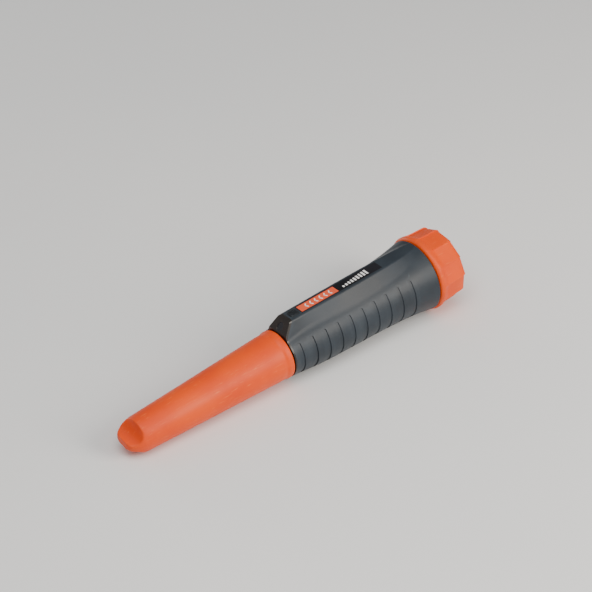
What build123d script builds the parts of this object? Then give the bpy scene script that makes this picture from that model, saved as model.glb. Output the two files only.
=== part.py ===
"""Waterproof pinpointer probe: a tapered sensing nose in a slip-on scraper sheath, a grip with a raised
top spine that carries a lamp, a power button and a label, and a screw cap over a 9 V battery bay.

Frame: millimetres. The tool lies along X with its tip towards -X. The origin is the centre of the cap's
flat rear face, +X is that face's outward normal and +Z points up through the spine.
"""

import os
from math import cos, hypot, radians, sin

from build123d import *

# Driving dimensions ---------------------------------------------------------------------------------
LENGTH = 245.0  # tip of the scraper blade to the cap's rear face
CAP_LENGTH = 21.0
CAP_CORNER = 23.9  # radius to the corners between the grip facets, at the cap's front
CAP_TAPER = 2.0  # degrees
CAP_FACETS = 12
CAP_PHASE = -3.25  # degrees the closed cap's corners stand away from the top
CAP_STEP = 0.5  # between one facet and the next
CAP_REAR_ROUND = [(-2.6, 23.6), (-1.1, 22.6), (-0.3, 21.6), (0, 20.6)]
COLLAR_RADIUS = 24.4
COLLAR_LENGTH = 6.5
SEAL_GAP = 0.5  # between the grip's rear rim and the cap
SHEATH_REAR = -129.5  # rear edge of the sheath's lip
SHEATH_WALL = 1.4
SHEATH_CLEARANCE = 0.3
TIP_RADIUS = 11.2
ROOT_RADIUS = 15.2  # sheath radius in front of its lip
LIP_RADIUS = 15.7
BLADE_HALF = 2.2  # half the thickness of the scraper blade
BLADE_FLAT = 1.8  # length of the blade before the hollows above and below it start to rise
BLADE_ROLL = 12.0  # degrees the sheath is turned on the tube
SCOOP_RADIUS = 8.6
# Distance behind the tip and radius of the rounded nose
NOSE_PLAN = [(0, 6.0), (0.4, 7.3), (1.4, 8.4), (3.5, 9.6), (6.5, 10.7), (10.5, 11.25)]
SPINE_TOP = 23.0  # height of the spine's flat above the axis
GROOVE_COUNT = 10
GROOVE_PITCH = 9.3
GROOVE_FIRST = -123.4
GROOVE_WIDTH = 2.0
GROOVE_DEPTH = 0.4
GROOVE_TOP = 38.0  # degrees above the horizontal where a groove ends on each side
THREAD_PITCH = 3.0
THREAD_TURNS = 2.25
BUTTON_TRAVEL = 0.5

# Stations along the grip: x, radius of its round part, half the width of the spine's flat measured to its
# sharp corners, the lean of the spine's flanks as their sideways run for each millimetre of drop, and the
# rounding of the valley where a flank meets the round part. Towards the rear the flanks lean out until they
# run into the round part without a crease.
BEZEL_FRONT = SHEATH_REAR + 0.4
GRIP_REAR = -CAP_LENGTH - SEAL_GAP
GRIP_STATIONS = [
    (BEZEL_FRONT, 15.7, 5.0, 0.40, 5.0),
    (-122.0, 16.35, 5.0, 0.42, 5.5),
    (-109.0, 17.7, 5.0, 0.56, 9.0),
    (-95.0, 18.4, 5.0, 0.72, 12.0),
    (-78.0, 18.85, 5.0, 0.83, 14.0),
    (-60.0, 19.4, 4.9, 0.92, 16.0),
    (-45.0, 20.2, 4.7, 1.07, 16.0),
    (-34.0, 21.3, 4.2, 1.40, 14.0),
    (GRIP_REAR, 23.2, 2.0, 4.00, 1.8),
]
GRIP_RADII = [(station[0], station[1]) for station in GRIP_STATIONS]
SPINE_EDGE = 1.9  # rounding of the spine's top corners
RIM_BEVEL = 0.6  # on the shell's rear rim

# Places worked out from the driving dimensions --------------------------------------------------------
TIP_X = -LENGTH
TIP_STATION = TIP_X + 10.0  # where the sheath's cone ends and its blade begins
ROOT_STATION = SHEATH_REAR - 7.5
GRIP_FRONT = BEZEL_FRONT + 0.9  # where the shell starts, below the spine
SLANT_TOP = BEZEL_FRONT + 6.2  # where the slanted lamp face meets the spine's flat
SLANT_FOOT_Z = LIP_RADIUS
BEZEL_DEEP = 1.8  # thickness of the slanted lamp face along X

SHELL_WALL = 1.7
CORE_WALL = 1.5
TUBE_WALL = 1.2
TUBE_SPIGOT = 13.0  # radius of the probe tube where it enters the grip
TUBE_REAR = -122.5
FIT = 0.05

SPIGOT_RADIUS = 18.6
SPIGOT_BORE = 16.6
SPIGOT_END = -6.5
THREAD_DEPTH = 1.1
THREAD_BASE = 1.3
THREAD_CREST = 0.7
THREAD_START = -14.0
CAP_BORE = SPIGOT_RADIUS + THREAD_DEPTH + 0.3
CAP_FLOOR = -3.0
DISC_THICK = 1.2
PAD_THICK = 1.5
SEAL_X = -18.2
SEAL_SECTION = 0.8

BATTERY_SIZE = (46.5, 26.5, 17.5)  # length, width and height of a 9 V block without its terminals
BATTERY_REAR = CAP_FLOOR - DISC_THICK - PAD_THICK - 0.2
BATTERY_FRONT = BATTERY_REAR - BATTERY_SIZE[0]
TERMINAL_PITCH = 12.7
TERMINAL_HEIGHT = 2.0
POCKET_CLEARANCE = 0.35
PLATE_REAR = BATTERY_FRONT - TERMINAL_HEIGHT - 0.4
PLATE_THICK = 1.6
BULKHEAD_THICK = 2.4
BULKHEAD_FRONT = PLATE_REAR - PLATE_THICK - BULKHEAD_THICK

LABEL_FRONT = -112.5
LABEL_REAR = -50.0
LABEL_SPLIT = -83.5
LABEL_HALF = 3.7
LABEL_THICK = 0.5
ACCENT_THICK = 0.25
BUTTON_X = -116.4
BUTTON_SIZE = (6.4, 6.0)
BUTTON_GAP = 0.2
BUTTON_PROUD = 0.5
LAMP_Z = 18.4
LENS_RADIUS = 2.3

BOARD_TOP = 8.6
BOARD_THICK = 1.6
BOARD_FRONT = -120.8
BOARD_REAR = BULKHEAD_FRONT - 0.6
BOARD_HALF = 9.8
SWITCH_TOP = BOARD_TOP + 3.4
PLUNGER_UP = 1.0

PIECES = {}


def keep(builder, label):
    """Names a finished piece and keeps it for export."""
    builder.part.label = label
    PIECES[label] = builder.part


def across(x):
    """The plane at x whose normal points towards +X and whose own y points up."""
    return Plane(origin=(x, 0, 0), x_dir=(0, 1, 0), z_dir=(1, 0, 0))


def cone_radius(x):
    """Outer radius of the sheath's cone at x."""
    share = (x - TIP_STATION) / (ROOT_STATION - TIP_STATION)
    return TIP_RADIUS + (ROOT_RADIUS - TIP_RADIUS) * share


def grip_radius(x):
    """Radius of the round part of the grip at x."""
    for (x0, r0), (x1, r1) in zip(GRIP_RADII, GRIP_RADII[1:]):
        if x <= x1:
            return r0 + (r1 - r0) * (x - x0) / (x1 - x0)
    return GRIP_RADII[-1][1]


def valley_drop(radius, half, lean, top):
    """Drop from the spine's flat to where its leaning flank meets the round part."""
    drop = 0.0
    while hypot(half + lean * drop, top - drop) > radius:
        drop += 0.02
    return drop


def grip_solid(inset):
    """The grip's form, shrunk by an inset on its skin."""
    with BuildPart() as form:
        for station, radius, half, lean, valley in GRIP_STATIONS:
            top = max(SPINE_TOP, radius + 0.1) - inset
            half_in = max(half - inset, 1.0)
            sunk = valley_drop(radius - inset, half_in, lean, top) + 0.5
            foot = half_in + lean * sunk
            with BuildSketch(across(station)) as section:
                Circle(radius - inset)
                with BuildLine():
                    Polyline((-foot, top - sunk), (-half_in, top), (half_in, top), (foot, top - sunk), close=True)
                make_face()
                fillet(section.vertices().sort_by(Axis.Y)[-4:-2], valley)
                fillet(section.vertices().sort_by(Axis.Y)[-2:], SPINE_EDGE)
        loft()
    return form.part


def turned(profile):
    """A solid of revolution about X from (x, radius) corners."""
    with BuildPart() as solid:
        with BuildSketch(Plane.XZ):
            with BuildLine():
                Polyline(*profile, close=True)
            make_face()
        revolve(axis=Axis.X)
    return solid.part


def rod(x0, x1, radius, y=0.0, z=0.0, bore=0.0):
    """A round bar or sleeve along X."""
    with BuildPart() as bar:
        with BuildSketch(across(x0)):
            with Locations((y, z)):
                Circle(radius)
                if bore:
                    Circle(bore, mode=Mode.SUBTRACT)
        extrude(amount=x1 - x0)
    return bar.part


def block(x0, x1, y0, y1, z0, z1):
    """A box between two corners."""
    with BuildPart() as box:
        with Locations(((x0 + x1) / 2, (y0 + y1) / 2, (z0 + z1) / 2)):
            Box(x1 - x0, y1 - y0, z1 - z0)
    return box.part


def ring_of_thread(root, depth, start):
    """A helical ridge standing outwards (positive depth) or inwards (negative depth) from a root radius."""
    sunk = -0.2 if depth > 0 else 0.2
    with BuildPart() as ridge:
        with BuildLine() as path:
            Helix(THREAD_PITCH, THREAD_PITCH * THREAD_TURNS, root, center=(start, 0, 0), direction=(1, 0, 0))
        place = Plane(origin=path.line @ 0, x_dir=(path.line @ 0) - Vector(start, 0, 0), z_dir=path.line % 0)
        with BuildSketch(place):
            with BuildLine():
                Polyline(
                    (sunk, -THREAD_BASE / 2),
                    (depth, -THREAD_CREST / 2),
                    (depth, THREAD_CREST / 2),
                    (sunk, THREAD_BASE / 2),
                    close=True,
                )
            make_face()
        sweep(path=path.line, is_frenet=True)
    return ridge.part


def slanted_front(foot_x, shift):
    """Everything in front of the lamp face's outline, moved back along X by a shift."""
    slope = (SLANT_TOP - BEZEL_FRONT) / (SPINE_TOP - SLANT_FOOT_Z)
    high = SPINE_TOP + 4
    with BuildPart() as region:
        with BuildSketch(Plane.XZ.offset(-30)):
            with BuildLine():
                Polyline(
                    (foot_x - 9, -30),
                    (foot_x, -30),
                    (foot_x, SLANT_FOOT_Z + (foot_x - BEZEL_FRONT - shift) / slope),
                    (SLANT_TOP + shift + (high - SPINE_TOP) * slope, high),
                    (foot_x - 9, high),
                    close=True,
                )
            make_face()
        extrude(amount=60)
    return region.part


# Grip: soft shell over a rigid core -------------------------------------------------------------------
OUTER_FORM = grip_solid(0.0)
CORE_FORM = grip_solid(SHELL_WALL)
LAMP_FRONT = slanted_front(BEZEL_FRONT, 0.0)
BEZEL_ZONE = slanted_front(GRIP_FRONT, BEZEL_DEEP)

with BuildPart() as grip_shell:
    add(OUTER_FORM)
    add(BEZEL_ZONE, mode=Mode.SUBTRACT)
    add(CORE_FORM, mode=Mode.SUBTRACT)
    # seat of the label
    add(block(LABEL_FRONT, LABEL_REAR, -LABEL_HALF, LABEL_HALF, SPINE_TOP - LABEL_THICK, 40), mode=Mode.SUBTRACT)
    # opening for the power button
    with BuildSketch(Plane.XY.offset(SPINE_TOP - 4)):
        with Locations((BUTTON_X, 0)):
            RectangleRounded(BUTTON_SIZE[0] + 2 * BUTTON_GAP, BUTTON_SIZE[1] + 2 * BUTTON_GAP, 1.8)
    extrude(amount=10, mode=Mode.SUBTRACT)
    # thumb grooves round the underside
    for i in range(GROOVE_COUNT):
        x = GROOVE_FIRST + i * GROOVE_PITCH
        radius = grip_radius(x)
        slope = radians(GROOVE_TOP)
        start_plane = Plane(origin=(0, 0, 0), x_dir=(1, 0, 0), z_dir=(0, -sin(slope), cos(slope)))
        with BuildSketch(start_plane):
            with Locations((x, radius + 1)):
                Rectangle(GROOVE_WIDTH, 2 * (1 + GROOVE_DEPTH))
        revolve(axis=Axis((0, 0, 0), (-1, 0, 0)), revolution_arc=180 + 2 * GROOVE_TOP, mode=Mode.SUBTRACT)
        for side in (-1, 1):
            outward = Vector(0, side * cos(slope), sin(slope))
            with BuildSketch(Plane(origin=Vector(x, 0, 0) + outward * (radius - GROOVE_DEPTH), z_dir=outward)):
                Circle(GROOVE_WIDTH / 2)
            extrude(amount=3, mode=Mode.SUBTRACT)
    # bevel of the rear rim
    rim = GRIP_STATIONS[-1][1]
    add(
        turned(
            [
                (GRIP_REAR - RIM_BEVEL, rim),
                (GRIP_REAR, rim - RIM_BEVEL),
                (GRIP_REAR + 1, rim - RIM_BEVEL),
                (GRIP_REAR + 1, rim + 2),
                (GRIP_REAR - RIM_BEVEL, rim + 2),
            ]
        ),
        mode=Mode.SUBTRACT,
    )
keep(grip_shell, "grip_shell")

BAY_FRONT = TUBE_REAR
BAY_PROFILE = [(BAY_FRONT, 0), (BAY_FRONT, grip_radius(BAY_FRONT) - SHELL_WALL - CORE_WALL)]
BAY_PROFILE += [(x, r - SHELL_WALL - CORE_WALL) for x, r in GRIP_RADII if BAY_FRONT < x < -40]
BAY_PROFILE += [(-30.0, SPIGOT_BORE), (SPIGOT_END + 1, SPIGOT_BORE), (SPIGOT_END + 1, 0)]

with BuildPart() as grip_core:
    add(CORE_FORM)
    add(BEZEL_ZONE, mode=Mode.SUBTRACT)
    # threaded spigot for the cap
    add(rod(GRIP_REAR - 2, SPIGOT_END, SPIGOT_RADIUS))
    add(ring_of_thread(SPIGOT_RADIUS, THREAD_DEPTH, THREAD_START))
    add(turned(BAY_PROFILE), mode=Mode.SUBTRACT)
    # socket of the probe tube, room for the lamp and the button's stem
    add(rod(BEZEL_FRONT - 1, BAY_FRONT + 1, TUBE_SPIGOT + FIT), mode=Mode.SUBTRACT)
    add(block(GRIP_FRONT - 1, BUTTON_X + 4, -2.7, 2.7, 5, SPINE_TOP - SHELL_WALL - 0.9), mode=Mode.SUBTRACT)
    with BuildSketch(Plane.XY.offset(SPINE_TOP - 6)):
        with Locations((BUTTON_X, 0)):
            RectangleRounded(BUTTON_SIZE[0] - 1.6, BUTTON_SIZE[1] - 1.6, 1.0)
    extrude(amount=10, mode=Mode.SUBTRACT)
    # seat of the cap's seal
    add(
        rod(SEAL_X - SEAL_SECTION, SEAL_X + SEAL_SECTION, SPIGOT_RADIUS + 3, bore=SPIGOT_RADIUS - 0.3),
        mode=Mode.SUBTRACT,
    )
keep(grip_core, "grip_core")

with BuildPart() as board_rails:
    for side in (-1, 1):
        y_in, y_out = side * (BOARD_HALF - 1.6), side * 16.0
        add(
            block(
                BOARD_FRONT, BOARD_REAR, min(y_in, y_out), max(y_in, y_out),
                BOARD_TOP - BOARD_THICK - 2.0, BOARD_TOP - BOARD_THICK,
            )
        )
    add(turned([(x, r + (FIT * -1 if r else 0)) for x, r in BAY_PROFILE]), mode=Mode.INTERSECT)
keep(board_rails, "board_rails")

with BuildPart() as nose_bezel:
    add(OUTER_FORM)
    add(BEZEL_ZONE, mode=Mode.INTERSECT)
    add(LAMP_FRONT, mode=Mode.SUBTRACT)
    add(rod(BEZEL_FRONT - 1, SLANT_TOP + 4, TUBE_SPIGOT + FIT), mode=Mode.SUBTRACT)
    add(rod(BEZEL_FRONT - 1, SLANT_TOP + 4, LENS_RADIUS, z=LAMP_Z), mode=Mode.SUBTRACT)
keep(nose_bezel, "nose_bezel")

with BuildPart() as lamp_lens:
    add(rod(BEZEL_FRONT - 1, SLANT_TOP + 4, LENS_RADIUS, z=LAMP_Z))
    add(BEZEL_ZONE, mode=Mode.INTERSECT)
    add(slanted_front(BEZEL_FRONT + 0.3, 0.3), mode=Mode.SUBTRACT)
keep(lamp_lens, "lamp_lens")

with BuildPart() as label_plate:
    add(block(LABEL_FRONT, LABEL_REAR, -LABEL_HALF, LABEL_HALF, SPINE_TOP - LABEL_THICK, SPINE_TOP))
    add(
        block(
            LABEL_FRONT + 0.8, LABEL_SPLIT, 0.7 - LABEL_HALF, LABEL_HALF - 0.7,
            SPINE_TOP - ACCENT_THICK, SPINE_TOP + 1,
        ),
        mode=Mode.SUBTRACT,
    )
keep(label_plate, "label_plate")

with BuildPart() as label_accent:
    add(
        block(
            LABEL_FRONT + 0.8, LABEL_SPLIT, 0.7 - LABEL_HALF, LABEL_HALF - 0.7,
            SPINE_TOP - ACCENT_THICK, SPINE_TOP,
        )
    )
keep(label_accent, "label_accent")

# Power button and its switch --------------------------------------------------------------------------
with BuildPart() as power_button:
    with BuildSketch(Plane.XY.offset(SPINE_TOP - SHELL_WALL + BUTTON_TRAVEL + 0.1)):
        with Locations((BUTTON_X, 0)):
            RectangleRounded(*BUTTON_SIZE, 1.6)
    extrude(amount=SHELL_WALL - BUTTON_TRAVEL - 0.1 + BUTTON_PROUD)
    fillet(power_button.faces().sort_by(Axis.Z)[-1].edges(), 0.45)
    with BuildSketch(Plane.XY.offset(SWITCH_TOP + PLUNGER_UP)):
        with Locations((BUTTON_X, 0)):
            Circle(1.5)
    extrude(amount=SPINE_TOP - SHELL_WALL + BUTTON_TRAVEL + 0.3 - SWITCH_TOP - PLUNGER_UP)
keep(power_button, "power_button")

with BuildPart() as switch_plunger:
    with Locations((BUTTON_X, 0, SWITCH_TOP + PLUNGER_UP / 2 - 0.4)):
        Cylinder(1.2, PLUNGER_UP + 0.8)
keep(switch_plunger, "switch_plunger")

with BuildPart() as tact_switch:
    add(block(BUTTON_X - 2.8, BUTTON_X + 2.8, -3.0, 3.0, BOARD_TOP, SWITCH_TOP))
    with Locations((BUTTON_X, 0, SWITCH_TOP)):
        Cylinder(1.2 + FIT, 3.2, mode=Mode.SUBTRACT)
keep(tact_switch, "tact_switch")

# Circuit board and what it carries --------------------------------------------------------------------
with BuildPart() as main_board:
    add(block(BOARD_FRONT, BOARD_REAR, -BOARD_HALF, BOARD_HALF, BOARD_TOP - BOARD_THICK, BOARD_TOP))
keep(main_board, "main_board")

with BuildPart() as board_chips:
    for x, y, long, wide in ((-103, 2.5, 7, 7), (-90, -4, 5, 4), (-88, 5, 5, 6), (-70, 0, 4, 5)):
        add(block(x - long / 2, x + long / 2, y - wide / 2, y + wide / 2, BOARD_TOP, BOARD_TOP + 1.1))
keep(board_chips, "board_chips")

with BuildPart() as board_capacitors:
    for x, y in ((-97, -5.5), (-79, -5.0), (-79, 5.0)):
        with BuildSketch(Plane.XY.offset(BOARD_TOP)):
            with Locations((x, y)):
                Circle(2.0)
        extrude(amount=4.0)
keep(board_capacitors, "board_capacitors")

BOARD_UNDER = BOARD_TOP - BOARD_THICK
with BuildPart() as piezo_buzzer:
    with BuildSketch(Plane.XY.offset(BOARD_UNDER - 3.2)):
        with Locations((-76, 0)):
            Circle(7.0)
            Circle(0.8, mode=Mode.SUBTRACT)
    extrude(amount=3.2)
keep(piezo_buzzer, "piezo_buzzer")

MOTOR_RADIUS = 3.5
MOTOR_Z = BOARD_UNDER - MOTOR_RADIUS
MOTOR_REAR = -96.0
with BuildPart() as motor_can:
    add(rod(MOTOR_REAR - 11, MOTOR_REAR, MOTOR_RADIUS, z=MOTOR_Z))
    add(rod(MOTOR_REAR - 6, MOTOR_REAR + 1, 0.5 + FIT, z=MOTOR_Z), mode=Mode.SUBTRACT)
keep(motor_can, "motor_can")

with BuildPart() as motor_shaft:
    add(rod(MOTOR_REAR - 5.9, MOTOR_REAR + 4.0, 0.5, z=MOTOR_Z))
keep(motor_shaft, "motor_shaft")

with BuildPart() as motor_weight:
    add(rod(MOTOR_REAR + 0.6, MOTOR_REAR + 3.8, 2.9, z=MOTOR_Z))
    add(
        block(MOTOR_REAR, MOTOR_REAR + 5, -4, 4, MOTOR_Z + 0.9, MOTOR_Z + 5),
        mode=Mode.SUBTRACT,
    )
    add(rod(MOTOR_REAR, MOTOR_REAR + 5, 0.5, z=MOTOR_Z), mode=Mode.SUBTRACT)
keep(motor_weight, "motor_weight")

LAMP_FACE = -124.0
LAMP_LENGTH = 3.8
with BuildPart() as lamp_led:
    add(rod(LAMP_FACE, LAMP_FACE + LAMP_LENGTH - 0.8, 1.45, z=LAMP_Z))
    fillet(lamp_led.faces().sort_by(Axis.X)[0].edges(), 1.1)
    add(rod(LAMP_FACE + LAMP_LENGTH - 0.8, LAMP_FACE + LAMP_LENGTH, 1.75, z=LAMP_Z))
keep(lamp_led, "lamp_led")

with BuildPart() as lamp_legs:
    for side in (-1, 1):
        with BuildLine() as leg_path:
            Polyline(
                (LAMP_FACE + LAMP_LENGTH, side * 1.0, LAMP_Z),
                (LAMP_FACE + LAMP_LENGTH + 0.5, side * 1.0, LAMP_Z),
                (LAMP_FACE + LAMP_LENGTH + 0.5, side * 1.6, SWITCH_TOP + 1.2),
                (BOARD_FRONT + 0.8, side * 3.9, SWITCH_TOP - 0.6),
                (BOARD_FRONT + 0.8, side * 3.9, BOARD_TOP),
            )
        with BuildSketch(Plane(origin=leg_path.line @ 0, z_dir=leg_path.line % 0)):
            Circle(0.25)
        sweep(path=leg_path.line, transition=Transition.ROUND)
keep(lamp_legs, "lamp_legs")

# Battery bay --------------------------------------------------------------------------------------------
half_y, half_z = BATTERY_SIZE[1] / 2, BATTERY_SIZE[2] / 2
with BuildPart() as battery_cell:
    add(block(BATTERY_FRONT, BATTERY_REAR, -half_y, half_y, -half_z, half_z))
    fillet(battery_cell.edges().filter_by(Axis.X), 2.0)
keep(battery_cell, "battery_cell")

with BuildPart() as battery_terminals:
    for y, radius in ((-TERMINAL_PITCH / 2, 2.9), (TERMINAL_PITCH / 2, 3.6)):
        add(rod(BATTERY_FRONT - TERMINAL_HEIGHT, BATTERY_FRONT, radius, y=y))
keep(battery_terminals, "battery_terminals")

with BuildPart() as contact_snaps:
    for y, radius in ((-TERMINAL_PITCH / 2, 2.9), (TERMINAL_PITCH / 2, 3.6)):
        add(rod(PLATE_REAR, BATTERY_FRONT - 0.4, radius + 0.5, y=y, bore=radius + FIT))
keep(contact_snaps, "contact_snaps")

SCREW_Z = 7.0
with BuildPart() as contact_plate:
    add(block(PLATE_REAR - PLATE_THICK, PLATE_REAR, -12.5, 12.5, -8.5, 8.5))
    for side in (-1, 1):
        add(rod(PLATE_REAR - 9, PLATE_REAR + 1, 1.1, z=side * SCREW_Z), mode=Mode.SUBTRACT)
keep(contact_plate, "contact_plate")

with BuildPart() as bay_bulkhead:
    add(rod(BULKHEAD_FRONT, PLATE_REAR - PLATE_THICK, 30))
    add(turned(BAY_PROFILE), mode=Mode.INTERSECT)
    for side in (-1, 1):
        add(rod(PLATE_REAR - 9, PLATE_REAR + 1, 0.9 + FIT, z=side * SCREW_Z), mode=Mode.SUBTRACT)
        add(rod(PLATE_REAR - 9, PLATE_REAR + 1, 0.9, y=side * 10.0, z=4.0), mode=Mode.SUBTRACT)
keep(bay_bulkhead, "bay_bulkhead")

with BuildPart() as contact_screws:
    for side in (-1, 1):
        add(rod(PLATE_REAR, PLATE_REAR + 1.0, 1.7, z=side * SCREW_Z))
        add(rod(BULKHEAD_FRONT + 0.2, PLATE_REAR, 0.9, z=side * SCREW_Z))
        add(
            block(PLATE_REAR + 0.5, PLATE_REAR + 2, -1.2, 1.2, side * SCREW_Z - 0.25, side * SCREW_Z + 0.25),
            mode=Mode.SUBTRACT,
        )
keep(contact_screws, "contact_screws")

with BuildPart() as battery_leads:
    for side in (-1, 1):
        add(rod(BOARD_REAR - 3.0, PLATE_REAR - PLATE_THICK, 0.55, y=side * 10.0, z=4.0))
keep(battery_leads, "battery_leads")

CRADLE_FRONT, CRADLE_REAR = PLATE_REAR, -24.0
CRADLE_FIT = [(x, r - 0.05 if r else 0) for x, r in BAY_PROFILE]
with BuildPart() as battery_cradle:
    add(rod(CRADLE_FRONT, CRADLE_REAR, 30))
    add(turned(CRADLE_FIT), mode=Mode.INTERSECT)
    add(
        block(
            CRADLE_FRONT - 1, CRADLE_REAR + 1, -half_y - POCKET_CLEARANCE, half_y + POCKET_CLEARANCE,
            -half_z - POCKET_CLEARANCE, half_z + POCKET_CLEARANCE,
        ),
        mode=Mode.SUBTRACT,
    )
keep(battery_cradle, "battery_cradle")

# Screw cap ----------------------------------------------------------------------------------------------
CAP_FRONT = -CAP_LENGTH
with BuildPart() as battery_cap:
    # grip facets, each turned a little so that a step stands between it and the next
    facet_turn = 360 / CAP_FACETS
    with BuildSketch(across(CAP_FRONT + 1.0)):
        with BuildLine():
            corners = []
            for i in range(CAP_FACETS):
                spoke = radians(CAP_PHASE + i * facet_turn)
                corners.append((CAP_CORNER * cos(spoke), CAP_CORNER * sin(spoke)))
                corners.append(((CAP_CORNER - CAP_STEP) * cos(spoke), (CAP_CORNER - CAP_STEP) * sin(spoke)))
            Polyline(*corners, close=True)
        make_face()
    extrude(amount=CAP_LENGTH - 1.0, taper=CAP_TAPER)
    # smooth collar in front, which slopes down into the facets, and a rounded rim at the rear
    with BuildSketch(Plane.XZ):
        with BuildLine():
            Polyline(
                (CAP_FRONT, 0),
                (CAP_FRONT, COLLAR_RADIUS - 1.8),
                (CAP_FRONT + 0.6, COLLAR_RADIUS - 0.6),
                (CAP_FRONT + 1.9, COLLAR_RADIUS),
                (CAP_FRONT + COLLAR_LENGTH - 2.0, COLLAR_RADIUS - 0.1),
                (CAP_FRONT + COLLAR_LENGTH, CAP_BORE + 2.6),
                (CAP_FRONT + COLLAR_LENGTH, 0),
                close=True,
            )
        make_face()
        fillet(vertices().filter_by(lambda v: v.Z > CAP_BORE + 2.7), 0.8)
    revolve(axis=Axis.X)
    add(
        turned(
            [
                (CAP_FRONT, 0),
                (CAP_FRONT, COLLAR_RADIUS + 1),
                (CAP_REAR_ROUND[0][0], COLLAR_RADIUS + 1),
                *CAP_REAR_ROUND,
                (0, 0),
            ]
        ),
        mode=Mode.INTERSECT,
    )
    add(rod(CAP_FRONT - 1, CAP_FLOOR, CAP_BORE), mode=Mode.SUBTRACT)
    add(ring_of_thread(CAP_BORE, -THREAD_DEPTH, THREAD_START - THREAD_PITCH / 2))
keep(battery_cap, "battery_cap")

with BuildPart() as cap_disc:
    add(rod(CAP_FLOOR - DISC_THICK, CAP_FLOOR - 0.02, SPIGOT_BORE - 0.5))
keep(cap_disc, "cap_disc")

with BuildPart() as cap_pad:
    add(block(CAP_FLOOR - DISC_THICK - PAD_THICK, CAP_FLOOR - DISC_THICK, -11, 11, -7, 7))
keep(cap_pad, "cap_pad")

with BuildPart() as cap_seal:
    with BuildSketch(Plane.XZ):
        with Locations((SEAL_X, CAP_BORE - 0.04 - SEAL_SECTION)):
            Circle(SEAL_SECTION - 0.05)
    revolve(axis=Axis.X)
keep(cap_seal, "cap_seal")

# Sensing nose -------------------------------------------------------------------------------------------
TUBE_GAP = SHEATH_WALL + SHEATH_CLEARANCE
TUBE_TIP = TIP_STATION + 2.0
TUBE_SHOULDER = BEZEL_FRONT - 0.05


def tube_radius(x):
    """Outer radius of the probe tube at x."""
    return cone_radius(x) - TUBE_GAP


RING_X = SHEATH_REAR - 4.0
RING_SECTION = 0.45
with BuildPart() as probe_tube:
    add(
        turned(
            [
                (TUBE_TIP, 0),
                (TUBE_TIP, tube_radius(TUBE_TIP) - 1.6),
                (TUBE_TIP + 0.5, tube_radius(TUBE_TIP) - 0.5),
                (TUBE_TIP + 1.6, tube_radius(TUBE_TIP)),
                (TUBE_SHOULDER, tube_radius(TUBE_SHOULDER)),
                (TUBE_SHOULDER, TUBE_SPIGOT),
                (TUBE_REAR, TUBE_SPIGOT),
                (TUBE_REAR, TUBE_SPIGOT - TUBE_WALL),
                (TUBE_SHOULDER - 6, TUBE_SPIGOT - TUBE_WALL),
                (TUBE_TIP + 2, tube_radius(TUBE_TIP) - TUBE_WALL),
                (TUBE_TIP + 2, 0),
            ]
        )
    )
    with BuildSketch(Plane.XZ):
        with Locations((RING_X, tube_radius(RING_X))):
            Rectangle(2 * RING_SECTION + 0.2, 1.5)
    revolve(axis=Axis.X, mode=Mode.SUBTRACT)
keep(probe_tube, "probe_tube")

with BuildPart() as sheath_ring:
    with BuildSketch(Plane.XZ):
        with Locations((RING_X, cone_radius(RING_X) - SHEATH_WALL - 0.06 - RING_SECTION)):
            Circle(RING_SECTION)
    revolve(axis=Axis.X)
keep(sheath_ring, "sheath_ring")

with BuildPart() as probe_sheath:
    with BuildSketch(Plane.XZ):
        with BuildLine():
            Polyline(
                (TIP_X, 0),
                *[(TIP_X + back, radius) for back, radius in NOSE_PLAN],
                (ROOT_STATION, ROOT_RADIUS),
                (SHEATH_REAR - 5.0, ROOT_RADIUS - 0.45),
                (SHEATH_REAR - 4.2, LIP_RADIUS - 0.25),
                (SHEATH_REAR - 3.2, LIP_RADIUS),
                (SHEATH_REAR - 0.7, LIP_RADIUS),
                (SHEATH_REAR, LIP_RADIUS - 0.7),
                (SHEATH_REAR, 0),
                close=True,
            )
        make_face()
    revolve(axis=Axis.X)
    # hollow for the probe tube
    add(
        turned(
            [
                (TUBE_TIP - 0.6, 0),
                (TUBE_TIP - 0.6, cone_radius(TUBE_TIP) - SHEATH_WALL - 1.2),
                (TUBE_TIP + 1.0, cone_radius(TUBE_TIP) - SHEATH_WALL),
                (SHEATH_REAR + 1, cone_radius(SHEATH_REAR + 1) - SHEATH_WALL),
                (SHEATH_REAR + 1, 0),
            ]
        ),
        mode=Mode.SUBTRACT,
    )
    # scoops above and below the blade
    for side in (-1, 1):
        scoop_plane = Plane.XZ.rotated((BLADE_ROLL, 0, 0)).offset(-20)
        with BuildSketch(scoop_plane):
            with Locations((TIP_X + BLADE_FLAT, side * (BLADE_HALF + SCOOP_RADIUS))):
                Circle(SCOOP_RADIUS)
            with Locations((TIP_X + BLADE_FLAT - 5, side * (BLADE_HALF + 10))):
                Rectangle(10, 20)
        extrude(amount=40, mode=Mode.SUBTRACT)
keep(probe_sheath, "probe_sheath")

ROD_RADIUS = 4.5
ROD_FRONT, ROD_REAR = -229.0, -146.0
with BuildPart() as ferrite_rod:
    add(rod(ROD_FRONT, ROD_REAR, ROD_RADIUS))
keep(ferrite_rod, "ferrite_rod")


def tube_bore(x):
    """Inner radius of the probe tube at x."""
    front, rear = TUBE_TIP + 2, TUBE_SHOULDER - 6
    inner_front = tube_radius(TUBE_TIP) - TUBE_WALL
    return inner_front + (TUBE_SPIGOT - TUBE_WALL - inner_front) * (x - front) / (rear - front)


with BuildPart() as rod_spacers:
    for x in (ROD_FRONT + 1.0, -190.0, ROD_REAR - 3.0):
        add(rod(x, x + 2.0, tube_bore(x) - 0.08, bore=ROD_RADIUS + FIT))
keep(rod_spacers, "rod_spacers")

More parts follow.
